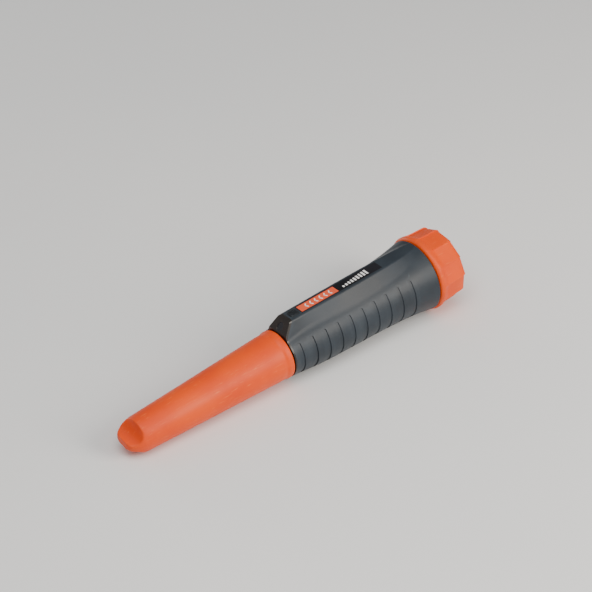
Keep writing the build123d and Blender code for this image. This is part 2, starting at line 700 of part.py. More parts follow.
for label, x0, x1, thickness in (
    ("transmit_coil", -224.0, -194.0, 2.2),
    ("receive_coil", -184.0, -156.0, 1.8),
):
    with BuildPart() as coil:
        add(rod(x0, x1, ROD_RADIUS + FIT + thickness, bore=ROD_RADIUS + FIT))
    keep(coil, label)

with BuildPart() as coil_leads:
    for side in (-1, 1):
        with BuildLine() as lead_path:
            Spline(
                (ROD_REAR + 1.5, side * 2.5, 1.0),
                (-136.0, side * 5.0, 2.0),
                (-124.0, side * 6.0, 4.5),
                (BOARD_FRONT + 3.0, side * 6.5, BOARD_UNDER - 0.5),
            )
        with BuildSketch(Plane(origin=lead_path.line @ 0, z_dir=lead_path.line % 0)):
            Circle(0.45)
        sweep(path=lead_path.line)
keep(coil_leads, "coil_leads")

os.makedirs("parts", exist_ok=True)
for label, piece in PIECES.items():
    export_step(piece, f"parts/{label}.step")
    print(f"{label:20s} solids {len(piece.solids())} valid {piece.is_valid} volume {piece.volume:9.1f}")
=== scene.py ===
# %% [markdown]
# # A pinpointer probe, dressed for a studio
# The tool is a metal-detecting probe: an orange scraper sheath over the sensing nose, a soft blue-grey grip
# with a raised spine for the lamp, the button and the label, and an orange screw cap over the battery.
# Its exact sizes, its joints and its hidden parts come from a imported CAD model. This lesson adds the looks:
# smoother, finer pieces over the plain CAD ones, and materials made from nodes.

import math

import bpy
from mathutils import Matrix, Vector


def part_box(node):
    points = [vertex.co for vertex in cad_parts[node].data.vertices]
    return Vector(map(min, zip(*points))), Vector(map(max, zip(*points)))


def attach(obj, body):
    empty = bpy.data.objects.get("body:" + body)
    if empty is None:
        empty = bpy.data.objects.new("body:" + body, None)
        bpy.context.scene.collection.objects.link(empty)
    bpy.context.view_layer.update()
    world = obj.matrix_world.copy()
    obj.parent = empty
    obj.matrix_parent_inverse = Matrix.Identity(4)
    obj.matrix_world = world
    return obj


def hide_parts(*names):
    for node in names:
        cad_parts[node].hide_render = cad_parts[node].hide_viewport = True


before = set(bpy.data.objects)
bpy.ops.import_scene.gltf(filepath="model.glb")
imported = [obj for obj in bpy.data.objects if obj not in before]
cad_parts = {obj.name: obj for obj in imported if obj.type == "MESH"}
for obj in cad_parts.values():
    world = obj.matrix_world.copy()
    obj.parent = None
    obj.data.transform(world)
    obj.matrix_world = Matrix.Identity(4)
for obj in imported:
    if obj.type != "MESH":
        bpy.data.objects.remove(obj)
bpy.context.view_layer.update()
bpy.ops.object.select_all(action="DESELECT")

# %% [markdown]
# The tool lies along X, with its tip towards -X and the label's spine on top. Lengths below are in
# millimetres, which is how a maker thinks of a hand tool, and one factor turns them to Blender's metres.

# %% Sizes that the pieces share
MM = 0.001
sheath_low, sheath_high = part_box("probe_sheath")
cap_low, cap_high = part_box("battery_cap")
TIP = sheath_low.x / MM
LIP_BACK = sheath_high.x / MM
LIP_RADIUS = sheath_high.y / MM
SPINE_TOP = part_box("label_plate")[1].z / MM
CAP_FRONT = cap_low.x / MM
COLLAR_RADIUS = cap_high.y / MM
print(f"tip {TIP:.1f}, lip {LIP_BACK:.1f} r {LIP_RADIUS:.1f}")
print(f"spine top {SPINE_TOP:.1f}, cap from {CAP_FRONT:.1f} r {COLLAR_RADIUS:.1f}")

# %% [markdown]
# ## Camera
# The view is from a seated person's height, in front of the tool and to its right, with the tip nearest.
# A long lens keeps the perspective gentle. The camera's axes are worked out from four turns: round the
# tool, up, a roll about the line of sight, and a small one about the tool's own axis.

# %% Camera
AZIMUTH, ELEVATION, ROLL, TURN = (math.radians(a) for a in (-34.15, 34.6, -8.33, -3.25))
AIM = Vector((-120, 0, 0)) * MM
DISTANCE = 1500 * MM
SLIDE_RIGHT, SLIDE_UP = 2.643, 29.77
LENS, SENSOR = 153.24, 36
back = Vector(
    (
        math.sin(AZIMUTH) * math.cos(ELEVATION),
        -math.cos(AZIMUTH) * math.cos(ELEVATION),
        math.sin(ELEVATION),
    )
)
level = Vector((0, 0, 1)).cross(back).normalized()
upright = back.cross(level)
right = level * math.cos(ROLL) + upright * math.sin(ROLL)
up = upright * math.cos(ROLL) - level * math.sin(ROLL)
about_tool = Matrix.Rotation(TURN, 3, "X")
back, right, up = about_tool @ back, about_tool @ right, about_tool @ up

camera_data = bpy.data.cameras.new("studio_camera")
camera_data.lens = LENS
camera_data.sensor_width = SENSOR
camera_data.clip_start, camera_data.clip_end = 0.05, 50
camera = bpy.data.objects.new("studio_camera", camera_data)
bpy.context.scene.collection.objects.link(camera)
camera.matrix_world = Matrix.Translation(
    AIM + back * DISTANCE + right * SLIDE_RIGHT * MM + up * SLIDE_UP * MM
) @ Matrix((right, up, back)).transposed().to_4x4()
bpy.context.scene.camera = camera
print("camera at", [round(c, 3) for c in camera.location])

# %% [markdown]
# ## Floor and light
# The tool lies on a plain pale sheet. It touches it with the collar of its cap and with its tip, so the
# sheet is a plane through those two places. A large soft key light stands low on the cap's side, a broad
# dim one overhead fills the shadows, and a narrow one from behind draws the edges.

# %% Floor
TIP_REST = (-234.0, 0, -11.35)
COLLAR_REST = 2.2
FLOOR_SIDE = 30
tip_bottom = Vector(TIP_REST) * MM
collar_bottom = Vector((CAP_FRONT + COLLAR_REST, 0, -COLLAR_RADIUS)) * MM
slope = math.atan2(tip_bottom.z - collar_bottom.z, collar_bottom.x - tip_bottom.x)
bpy.ops.mesh.primitive_plane_add(size=FLOOR_SIDE, location=collar_bottom, rotation=(0, slope, 0))
floor = bpy.context.object
floor.name = "floor_sheet"
bpy.ops.object.transform_apply(location=True, rotation=True, scale=True)
print(f"floor slopes {math.degrees(slope):.2f} degrees")


# %% Lights
def soft_light(name, toward, distance, size, power, colour):
    """A square area light that stands off the tool's middle and faces it."""
    data = bpy.data.lights.new(name, "AREA")
    data.shape, data.size, data.energy, data.color = "SQUARE", size, power, colour
    lamp = bpy.data.objects.new(name, data)
    bpy.context.scene.collection.objects.link(lamp)
    stand = Vector(toward).normalized()
    lamp.location = AIM + stand * distance
    lamp.rotation_mode = "QUATERNION"
    lamp.rotation_quaternion = stand.to_track_quat("Z", "Y")


WARM, SOFT_WARM, NEUTRAL = (1.0, 0.93, 0.84), (1.0, 0.97, 0.92), (1.0, 1.0, 1.0)
ROOM_GREY, ROOM_STRENGTH = 0.88, 0.38
soft_light("key_light", toward=(0.42, -0.80, 0.46), distance=1.1, size=0.60, power=11, colour=WARM)
soft_light("top_light", toward=(-0.25, -0.35, 1.0), distance=1.4, size=1.0, power=15, colour=SOFT_WARM)
soft_light("rim_light", toward=(-0.1, 1.0, 0.1), distance=1.3, size=0.4, power=4, colour=NEUTRAL)
world = bpy.data.worlds.new("pale_room")
world.use_nodes = True
room = world.node_tree.nodes["Background"]
room.inputs["Color"].default_value = (ROOM_GREY, ROOM_GREY, ROOM_GREY, 1)
room.inputs["Strength"].default_value = ROOM_STRENGTH
bpy.context.scene.world = world

# %% [markdown]
# ## Finishes
# Nearly every skin here is a moulding, a drawn metal or a foil. Each gets the same kind of story told by
# nodes: two tones that drift over some millimetres, a fine grain that bumps the surface, a roughness that
# wanders a little, and corners rubbed paler or darker by hands. One helper adds any node with its settings
# and its links, so that a material reads as a short list. All patterns use Object coordinates, which are
# metres on this model, so a pattern's size in millimetres divides into one thousand to give its scale.


# %% The helpers
def linear(code):
    """A linear colour from an sRGB hex code."""
    shares = [int(code[i : i + 2], 16) / 255 for i in (1, 3, 5)]
    return (*[s / 12.92 if s <= 0.04045 else ((s + 0.055) / 1.055) ** 2.4 for s in shares], 1)


def add_node(tree, kind, links=None, values=None, **settings):
    """Adds one node: settings are its properties, values its own constants, links its incoming wires."""
    node = tree.nodes.new(kind)
    for name, setting in settings.items():
        setattr(node, name, setting)
    for socket, value in (values or {}).items():
        node.inputs[socket].default_value = value
    for socket, source in (links or {}).items():
        tree.links.new(source, node.inputs[socket])
    return node


def per_mm(size):
    """The scale of a pattern whose features are this many millimetres across."""
    return 1 / (size * MM)


def new_material(name):
    """An empty material with its output, its shader and Object coordinates."""
    material = bpy.data.materials.new(name)
    material.use_nodes = True
    tree = material.node_tree
    tree.nodes.clear()
    shader = add_node(tree, "ShaderNodeBsdfPrincipled")
    add_node(tree, "ShaderNodeOutputMaterial", links={"Surface": shader.outputs["BSDF"]})
    place = add_node(tree, "ShaderNodeTexCoord").outputs["Object"]
    return material, tree, shader, place


def worn_finish(name, tone, drift_tone, edge_tone, drift=12, grain=0.4, depth=0.02, rough=(0.4, 0.5),
                edge=0.5, extra=None, **constants):
    """A skin of two drifting tones with a fine grain and rubbed edges; tones are sRGB hex, sizes are mm."""
    material, tree, shader, place = new_material(name)
    cloud = add_node(tree, "ShaderNodeTexNoise", {"Vector": place}, {"Scale": per_mm(drift), "Detail": 4})
    mottle = add_node(tree, "ShaderNodeTexNoise", {"Vector": place}, {"Scale": per_mm(grain), "Detail": 3})
    blotch = add_node(tree, "ShaderNodeMapRange", {"Value": cloud.outputs["Fac"]},
                      {"From Min": 0.35, "From Max": 0.65})
    tones = add_node(tree, "ShaderNodeMix", {0: blotch.outputs[0]},
                     {6: linear(tone), 7: linear(drift_tone)}, data_type="RGBA")
    colour = tones.outputs[2]
    if extra:
        colour = extra(tree, place, colour)
    rubbed = add_node(tree, "ShaderNodeMapRange",
                      {"Value": add_node(tree, "ShaderNodeNewGeometry").outputs["Pointiness"]},
                      {"From Min": 0.52, "From Max": 0.62, "To Max": edge})
    broken = add_node(tree, "ShaderNodeMath", {0: rubbed.outputs[0], 1: mottle.outputs["Fac"]},
                      operation="MULTIPLY")
    skin = add_node(tree, "ShaderNodeMix", {0: broken.outputs[0], 6: colour}, {7: linear(edge_tone)},
                    data_type="RGBA")
    gloss = add_node(tree, "ShaderNodeMapRange", {"Value": cloud.outputs["Fac"]},
                     {"From Min": 0.3, "From Max": 0.7, "To Min": rough[0], "To Max": rough[1]})
    bump = add_node(tree, "ShaderNodeBump", {"Height": mottle.outputs["Fac"]},
                    {"Strength": 0.6, "Distance": depth * MM})
    wires = {"Base Color": skin.outputs[2], "Roughness": gloss.outputs[0], "Normal": bump.outputs[0]}
    for socket, source in wires.items():
        tree.links.new(source, shader.inputs[socket])
    for socket, value in constants.items():
        shader.inputs[socket.replace("_", " ")].default_value = value
    return material


print("helpers ready")

# %% [markdown]
# ### Patterns that some finishes add
# A few skins carry more than a drift of tone: silt that settles on the orange sheath in faint scuffs along
# its length, copper tracks under a board's green mask, the turns of fine wire on a coil, the coloured
# jacket of a battery. Each is a small function that takes the colour so far and gives back a new one.


# %% Patterns
def scuffs(tree, place, colour):
    """Long faint scratches along X, where sand has dragged past."""
    stretched = add_node(tree, "ShaderNodeMapping", {"Vector": place}, {"Scale": (0.12, 1, 1)})
    lines = add_node(tree, "ShaderNodeTexNoise", {"Vector": stretched.outputs[0]},
                     {"Scale": per_mm(0.9), "Detail": 5})
    thin = add_node(tree, "ShaderNodeMapRange", {"Value": lines.outputs["Fac"]},
                    {"From Min": 0.62, "From Max": 0.72, "To Max": 0.35})
    pale = add_node(tree, "ShaderNodeMix", {0: thin.outputs[0], 6: colour}, {7: linear("#f58a45")},
                    data_type="RGBA")
    return pale.outputs[2]


def copper_tracks(tree, place, colour):
    """Straight copper tracks that show through the solder mask."""
    cells = add_node(tree, "ShaderNodeTexBrick", {"Vector": place},
                     {"Color1": (0, 0, 0, 1), "Color2": (0.1, 0.1, 0.1, 1), "Mortar": (1, 1, 1, 1),
                      "Scale": per_mm(9), "Mortar Size": 0.02})
    mask = add_node(tree, "ShaderNodeMix", {0: cells.outputs["Color"], 6: colour}, {7: linear("#3f8a3c")},
                    data_type="RGBA")
    return mask.outputs[2]


def wire_turns(tree, place, colour):
    """Bright and dark lines a fifth of a millimetre apart, round X."""
    turns = add_node(tree, "ShaderNodeTexWave", {"Vector": place}, {"Scale": per_mm(1.3), "Distortion": 0.4},
                     bands_direction="X")
    mask = add_node(tree, "ShaderNodeMix", {0: turns.outputs["Fac"], 6: colour}, {7: linear("#d98a45")},
                    data_type="RGBA")
    return mask.outputs[2]


def jacket_band(tree, place, colour):
    """The rear half of the battery's steel jacket is printed copper."""
    along = add_node(tree, "ShaderNodeSeparateXYZ", {"Vector": place})
    middle = (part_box("battery_cell")[0].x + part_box("battery_cell")[1].x) / 2
    side = add_node(tree, "ShaderNodeMath", {0: along.outputs["X"]}, {1: middle}, operation="GREATER_THAN")
    mask = add_node(tree, "ShaderNodeMix", {0: side.outputs[0], 6: colour}, {7: linear("#a8672c")},
                    data_type="RGBA")
    return mask.outputs[2]


print("patterns: scuffs, copper tracks, wire turns, jacket band")

# %% [markdown]
# ### The skins in sight
# Rubber scatters light widely, so the grip is rough with a broad soft highlight and a matt grain that a
# thumb can feel. The orange parts are polypropylene: smoother and a little waxy. The label is a smooth
# printed film, and the lamp's window is smoked polycarbonate.

# %% Finishes in sight
finishes = {
    # thermoplastic rubber overmould, satin blue-grey with a fine spark-eroded grain
    "grip_rubber": worn_finish("overmould_rubber", "#1d252d", "#262f38", "#4d575f", drift=18, grain=0.5,
                               depth=0.05, rough=(0.42, 0.50), IOR=1.5, Specular_IOR_Level=0.42),
    # polypropylene, deep orange, rubbed by sand
    "orange_plastic": worn_finish("orange_polypropylene", "#e44c00", "#d94100", "#ff8a3c", drift=25,
                                  grain=0.7, depth=0.02, rough=(0.42, 0.50), extra=scuffs, IOR=1.49,
                                  Specular_IOR_Level=0.3),
    # glass-filled ABS, black with a warm cast
    "bezel_plastic": worn_finish("black_abs", "#15120f", "#1b1614", "#453c38", drift=8, grain=0.3,
                                 depth=0.015, rough=(0.26, 0.36), IOR=1.53),
    # smoked polycarbonate window, nearly black until the lamp is lit
    "lens_clear": worn_finish("smoked_polycarbonate", "#0b0a0d", "#121016", "#2b2930", drift=3,
                              grain=1.5, depth=0.004, rough=(0.05, 0.09), IOR=1.585, Coat_Weight=0.5,
                              Coat_Roughness=0.03),
    # printed polyester film, second-surface black
    "label_black": worn_finish("label_film_black", "#08080d", "#0b0b11", "#2c2c34", drift=10, grain=0.5,
                               depth=0.006, rough=(0.40, 0.50), IOR=1.57, Specular_IOR_Level=0.2),
    # printed polyester film, orange ink
    "label_orange": worn_finish("label_film_orange", "#dd3f14", "#d4380f", "#f08a66", drift=7,
                                grain=0.5, depth=0.006, rough=(0.40, 0.50), IOR=1.57,
                                Specular_IOR_Level=0.2),
    # silicone rubber key, softer and darker than the grip
    "button_rubber": worn_finish("silicone_key", "#14181c", "#1a1f24", "#3c444c", drift=4, grain=0.3,
                                 depth=0.02, rough=(0.42, 0.52), IOR=1.41),
}
print("finishes in sight:", len(finishes))

# %% [markdown]
# ### The parts inside
# They show when the cap is off, when the sheath is pulled, or on the bench: plain engineering materials.

# %% Finishes inside
finishes |= {
    # nylon 66, black
    "core_plastic": worn_finish("black_nylon", "#17181a", "#1e1f22", "#3b3d42", rough=(0.42, 0.55),
                                IOR=1.53),
    # thermoset housing
    "switch_black": worn_finish("black_thermoset", "#101112", "#17181a", "#3a3b3d", drift=2,
                                rough=(0.45, 0.55)),
    # glass-epoxy laminate under a green solder mask
    "board_green": worn_finish("solder_mask_green", "#0e5a2c", "#0b4f27", "#6f8f4d", drift=6,
                               grain=0.25, depth=0.008, rough=(0.25, 0.35), extra=copper_tracks,
                               IOR=1.55),
    # moulded epoxy packages
    "chip_black": worn_finish("moulded_epoxy", "#1a1a1c", "#222225", "#4a4a4e", drift=2, grain=0.15,
                              depth=0.01, rough=(0.5, 0.6)),
    # drawn aluminium cans
    "capacitor_can": worn_finish("drawn_aluminium", "#c9cacc", "#b9bbbe", "#e6e6e8", drift=3, grain=0.2,
                                 depth=0.004, rough=(0.22, 0.32), Metallic=1.0),
    # bright drawn steel
    "motor_steel": worn_finish("drawn_steel", "#a9abae", "#989a9e", "#d5d6d8", drift=3, grain=0.2,
                               depth=0.004, rough=(0.24, 0.36), Metallic=1.0),
    # cast clear epoxy
    "led_epoxy": worn_finish("clear_epoxy", "#f2efe2", "#e9e5d2", "#ffffff", drift=2, grain=0.6,
                             depth=0.003, rough=(0.05, 0.1), IOR=1.51, Transmission_Weight=0.7),
    # tin over copper
    "tinned_wire": worn_finish("tinned_copper", "#bfc1c4", "#aeb0b3", "#e2e3e5", drift=1, grain=0.2,
                               depth=0.003, rough=(0.25, 0.35), Metallic=1.0),
    # printed steel jacket
    "cell_jacket": worn_finish("battery_jacket", "#151517", "#1c1c1f", "#6b6b70", drift=9, grain=0.4,
                               depth=0.006, rough=(0.25, 0.35), extra=jacket_band, Coat_Weight=0.4,
                               Coat_Roughness=0.12),
    # nickel plate
    "plated_contact": worn_finish("nickel_plate", "#c4c0b4", "#b3afa2", "#e8e5da", drift=2, grain=0.2,
                                  depth=0.003, rough=(0.18, 0.28), Metallic=1.0),
    # paper-phenolic laminate
    "plate_phenolic": worn_finish("phenolic_board", "#7a4a22", "#6b3f1c", "#a6743f", drift=3,
                                  grain=0.35, depth=0.01, rough=(0.45, 0.6), IOR=1.6),
    # zinc-plated steel
    "screw_steel": worn_finish("zinc_plate", "#a5a8ad", "#8f9297", "#d0d2d5", drift=1.5, grain=0.2,
                               depth=0.004, rough=(0.28, 0.4), Metallic=1.0),
    # red PVC insulation
    "lead_insulation": worn_finish("pvc_insulation", "#a81c16", "#961610", "#cf5a4c", drift=3,
                                   grain=0.3, depth=0.006, rough=(0.35, 0.45), IOR=1.53),
    # closed-cell foam
    "foam_grey": worn_finish("closed_cell_foam", "#4a4c50", "#3f4145", "#6c6e72", drift=2, grain=0.5,
                             depth=0.12, rough=(0.85, 0.95)),
    # nitrile rubber ring
    "seal_rubber": worn_finish("nitrile_rubber", "#121212", "#1a1a1a", "#333333", drift=3, grain=0.3,
                               depth=0.01, rough=(0.45, 0.55), IOR=1.52),
    # sintered manganese-zinc ferrite
    "ferrite": worn_finish("sintered_ferrite", "#2b2b2e", "#353538", "#5c5c60", drift=4, grain=0.2,
                           depth=0.02, rough=(0.4, 0.5), IOR=2.3),
    # natural nylon
    "spacer_nylon": worn_finish("natural_nylon", "#d8d2c0", "#cbc4b0", "#efeade", drift=5, grain=0.4,
                                depth=0.01, rough=(0.4, 0.5), IOR=1.53, Subsurface_Weight=0.1,
                                Subsurface_Scale=0.001),
    # enamelled copper wire
    "enamel_wire": worn_finish("enamelled_copper", "#8a3f1c", "#9a4a22", "#d98a45", drift=3, grain=0.2,
                               depth=0.01, rough=(0.22, 0.32), extra=wire_turns, Metallic=0.6),
    # white printing ink
    "print_ink": worn_finish("screen_ink", "#e9e9ea", "#dcdcde", "#ffffff", drift=2, grain=0.2,
                             depth=0.004, rough=(0.4, 0.5)),
}
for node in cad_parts.values():
    for material_slot in node.material_slots:
        stem = material_slot.material.name.split(".")[0]
        if stem in finishes:
            material_slot.material = finishes[stem]
        else:
            print("no finish for", node.name, stem)
print("finishes in all:", len(finishes))
# plain studio paper, pale and matt
floor.data.materials.append(worn_finish("studio_paper", "#e9eaeb", "#e4e6e8", "#ffffff", drift=400, grain=2,
                                        depth=0.02, rough=(0.8, 0.9), edge=0))


# %% [markdown]
# ## Pieces made here
# The mouldings that the CAD model shapes well keep their meshes. Four things deserve finer work. The sheath
# and the cap get softer edges, and are described below. The power key is a soft dome that hands have
# polished, on a stem that reaches down to its switch. The label is printed: a row of level bars, as a
# detector shows a target's strength, and a row of chevrons that point to the sensing tip. Both marks are
# plain signs and spell nothing.


# %% Helpers for pieces
def solid_box(name, low, high):
    """A cuboid between two corners in millimetres, with its place in its mesh."""
    middle = [(a + b) / 2 * MM for a, b in zip(low, high)]
    bpy.ops.mesh.primitive_cube_add(size=1, location=middle)
    piece = bpy.context.object
    piece.name = piece.data.name = name
    piece.scale = [(b - a) * MM for a, b in zip(low, high)]
    bpy.ops.object.transform_apply(location=True, rotation=True, scale=True)
    return piece


def start_edit(piece, mode):
    """Opens a piece in edit mode with nothing selected."""
    bpy.ops.object.select_all(action="DESELECT")
    bpy.context.view_layer.objects.active = piece
    piece.select_set(True)
    bpy.ops.object.mode_set(mode="EDIT")
    bpy.ops.mesh.select_mode(type=mode)
    bpy.ops.mesh.select_all(action="DESELECT")


def choose(piece, kind, wanted):
    """Selects the edges or faces that the test accepts, while the piece is in edit mode."""
    bpy.ops.object.mode_set(mode="OBJECT")
    for element in getattr(piece.data, kind):
        element.select = wanted(element)
    bpy.ops.object.mode_set(mode="EDIT")


def rises(piece, least):
    """A test for the edges of a piece that climb by more than this many millimetres."""

    def climbs(edge):
        start, end = (piece.data.vertices[i].co.z for i in edge.vertices)
        return abs(start - end) > least * MM

    return climbs


def finish_piece(piece, body, finish):
    """Closes edit mode, cleans the mesh, smooths it and gives it its body, slot and finish."""
    bpy.ops.object.mode_set(mode="EDIT")
    bpy.ops.mesh.select_all(action="SELECT")
    bpy.ops.mesh.remove_doubles(threshold=0.001 * MM)
    bpy.ops.mesh.normals_make_consistent(inside=False)
    bpy.ops.object.mode_set(mode="OBJECT")
    bpy.ops.object.shade_smooth_by_angle(angle=math.radians(40))
    piece.data.materials.clear()
    piece.data.materials.append(finishes[finish])
    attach(piece, body)
    print(piece.name, len(piece.data.polygons), "faces")


def join_all(name, slabs):
    """One object of many."""
    bpy.ops.object.select_all(action="DESELECT")
    for slab in slabs:
        slab.select_set(True)
    bpy.context.view_layer.objects.active = slabs[0]
    bpy.ops.object.join()
    slabs[0].name = slabs[0].data.name = name
    return slabs[0]


def lathe(name, profile, sides):
    """A body turned about X from (x, radius) stations in millimetres, whose first ring is closed."""
    x, radius = profile[0]
    bpy.ops.mesh.primitive_circle_add(
        vertices=sides, radius=radius * MM, fill_type="NGON",
        location=(x * MM, 0, 0), rotation=(0, math.pi / 2, 0),
    )
    piece = bpy.context.object
    piece.name = piece.data.name = name
    bpy.ops.object.transform_apply(location=True, rotation=True, scale=True)
    start_edit(piece, "VERT")
    bpy.ops.mesh.select_all(action="SELECT")
    bpy.ops.mesh.extrude_region_move()
    for i, (next_x, next_radius) in enumerate(profile[1:]):
        if i:
            bpy.ops.mesh.extrude_region_move()
        grow = next_radius / radius
        bpy.ops.transform.translate(value=((next_x - x) * MM, 0, 0))
        bpy.ops.transform.resize(value=(1, grow, grow), center_override=(next_x * MM, 0, 0))
        x, radius = next_x, next_radius
    bpy.ops.object.mode_set(mode="OBJECT")
    return piece


def apply_modifier(piece, kind, **settings):
    """Adds a modifier with its settings and applies it."""
    bpy.ops.object.select_all(action="DESELECT")
    bpy.context.view_layer.objects.active = piece
    piece.select_set(True)
    modifier = piece.modifiers.new(kind.lower(), kind)
    for setting, value in settings.items():
        setattr(modifier, setting, value)
    bpy.ops.object.modifier_apply(modifier=modifier.name)


# %% [markdown]
# ### The scraper sheath
# On the real tool this is one moulding that slips over the probe: a cone with a rolled lip, and a nose that
# is hollowed above and below so that a rounded blade is left to scrape with. It is turned as one wall, from
# the outside of the nose to the lip and back along the bore. Two rollers are then cut from the nose. An even
# remesh and a few rounds of smoothing soften every edge, as wear and the mould's own radii do.

# %% Sheath
WALL = 1.4
NOSE = [(0, 4.2), (0.5, 6.0), (1.6, 7.5), (3.5, 8.9), (6.0, 10.1), (9.0, 10.95), (12.0, 11.3)]
ROLL_OFF = [(-7.5, -0.5), (-5.2, -0.75), (-4.4, -0.3), (-3.4, -0.02)]
ROLL_OFF += [(-2.0, 0), (-0.9, -0.02), (-0.25, -0.25)]
BLADE_HALF, SCOOP, SCOOP_X, SHEATH_ROLL = 2.5, 7.8, 1.6, 12
SHEATH_SIDES, ROLLER_SIDES, ROLLER_LENGTH = 128, 96, 40
END_GAP, LIP_FACE, BORE_BEVEL = 0.6, 0.7, (1.5, 1.2)
VOXEL, SMOOTH_ROUNDS = 0.52, 7
cone_start, cone_radius = NOSE[-1]
cone_end, cone_rise = ROLL_OFF[0]
bore_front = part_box("probe_tube")[0].x / MM - END_GAP
along_cone = bore_front - TIP - cone_start
cone_length = LIP_BACK + cone_end - TIP - cone_start
bore_tip = cone_radius + (LIP_RADIUS + cone_rise - cone_radius) * along_cone / cone_length - WALL
wall_line = [(TIP + behind, radius) for behind, radius in NOSE]
wall_line += [(LIP_BACK + behind, LIP_RADIUS + rise) for behind, rise in ROLL_OFF]
wall_line += [(LIP_BACK, LIP_RADIUS - LIP_FACE), (LIP_BACK, LIP_RADIUS + cone_rise - WALL)]
wall_line += [(bore_front + BORE_BEVEL[0], bore_tip), (bore_front, bore_tip - BORE_BEVEL[1])]
sheath = lathe("scraper_sheath", wall_line, SHEATH_SIDES)
apply_modifier(sheath, "TRIANGULATE")
for side in (-1, 1):
    bpy.ops.mesh.primitive_cylinder_add(
        vertices=ROLLER_SIDES, radius=SCOOP * MM, depth=ROLLER_LENGTH * MM,
        location=((TIP + SCOOP_X) * MM, 0, side * (BLADE_HALF + SCOOP) * MM), rotation=(math.pi / 2, 0, 0),
    )
    roller = bpy.context.object
    bpy.ops.object.transform_apply(location=True, rotation=True, scale=True)
    roller.data.transform(Matrix.Rotation(math.radians(SHEATH_ROLL), 4, "X"))
    apply_modifier(sheath, "BOOLEAN", object=roller, operation="DIFFERENCE", solver="EXACT")
    bpy.data.objects.remove(roller)
apply_modifier(sheath, "REMESH", mode="VOXEL", voxel_size=VOXEL * MM)
apply_modifier(sheath, "SMOOTH", factor=0.5, iterations=SMOOTH_ROUNDS)
finish_piece(sheath, "sheath", "orange_plastic")
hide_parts("probe_sheath")

# %% [markdown]
# ### The screw cap
# The cap is turned first as a plain cup with a smooth collar. Its grip is then pressed into the wall: each
# ring of vertices slides round and inwards onto twelve flats, and each flat starts three quarters of a
# millimetre below the end of the one before it. That step is what a wet thumb pulls on. Towards the collar
# the flats fade out.

# %% Cap
FACETS, SAMPLES = 12, 12
CORNER, STEP, PHASE = 23.9, 0.75, -3.25
BORE = COLLAR_RADIUS - 4.4
FLAT_FROM, FLAT_BLEND = 20.1, 1.5
FADE_FROM, FADE_OVER = 2.0, 4.5
PIN = 0.8
SPREAD = [0, 0.035, 0.12, 0.22, 0.34, 0.45, 0.56, 0.67, 0.78, 0.88, 0.95, 0.99]
cup_line = [(CAP_FRONT, BORE), (CAP_FRONT, 22.9), (CAP_FRONT + 0.35, 23.6), (CAP_FRONT + 1.0, 24.1)]
cup_line += [(CAP_FRONT + 1.9, 24.35), (CAP_FRONT + 3.0, 24.35), (CAP_FRONT + 4.0, 24.2)]
cup_line += [(CAP_FRONT + 5.0, 24.0), (CAP_FRONT + 6.0, 23.85), (CAP_FRONT + 7.0, 23.8)]
cup_line += [(-11.0, 23.65), (-8.0, 23.55), (-5.0, 23.45), (-3.2, 23.35), (-2.0, 23.1), (-1.1, 22.6)]
cup_line += [(-0.4, 21.9), (-0.08, 21.1), (0, 20.2), (0, 17.0), (0, 13.0), (0, 9.0), (0, 5.0), (0, PIN)]
cup_line += [(-3.0, PIN), (-3.0, BORE - 0.6), (-3.6, BORE)]


def flat_radius(share):
    """Radius on a flat that starts below its corner by the step and rises to the next full corner."""
    whole = math.tau / FACETS
    low, turn = CORNER - STEP, share * math.tau / FACETS
    return low * CORNER * math.sin(whole) / (low * math.sin(turn) + CORNER * math.sin(whole - turn))


cap = lathe("faceted_cap", cup_line, FACETS * SAMPLES)
start_edit(cap, "FACE")
choose(cap, "polygons", lambda f: len(f.vertices) > 4 and f.center.x < -1 * MM)
bpy.ops.mesh.delete(type="ONLY_FACE")
bpy.ops.mesh.select_mode(type="EDGE")
bpy.ops.mesh.select_all(action="DESELECT")
bpy.ops.mesh.select_non_manifold(extend=False)
bpy.ops.mesh.bridge_edge_loops()
# the turned line leaves a pin hole on the axis, whose wall is cut away and whose two ends are filled
bpy.ops.mesh.select_mode(type="FACE")
choose(cap, "polygons", lambda f: abs(f.normal.x) < 0.1 and math.hypot(f.center.y, f.center.z) < 1 * MM)
bpy.ops.mesh.delete(type="FACE")
bpy.ops.mesh.select_all(action="SELECT")
bpy.ops.mesh.fill_holes(sides=0)
bpy.ops.object.mode_set(mode="OBJECT")
for vertex in cap.data.vertices:
    radius, angle = math.hypot(vertex.co.y, vertex.co.z) / MM, math.atan2(vertex.co.z, vertex.co.y)
    if radius > FLAT_FROM and vertex.co.x > CAP_FRONT * MM:
        flat, sample = divmod(round(angle % math.tau / math.tau * FACETS * SAMPLES), SAMPLES)
        fade = min(max((vertex.co.x / MM - CAP_FRONT - FADE_FROM) / FADE_OVER, 0), 1)
        fade *= fade * (3 - 2 * fade)
        angle = math.radians(PHASE) + (flat + SPREAD[sample]) * math.tau / FACETS
        blend = min((radius - FLAT_FROM) / FLAT_BLEND, 1)
        radius += fade * (flat_radius(SPREAD[sample]) - CORNER) * blend
        vertex.co.y, vertex.co.z = radius * math.cos(angle) * MM, radius * math.sin(angle) * MM

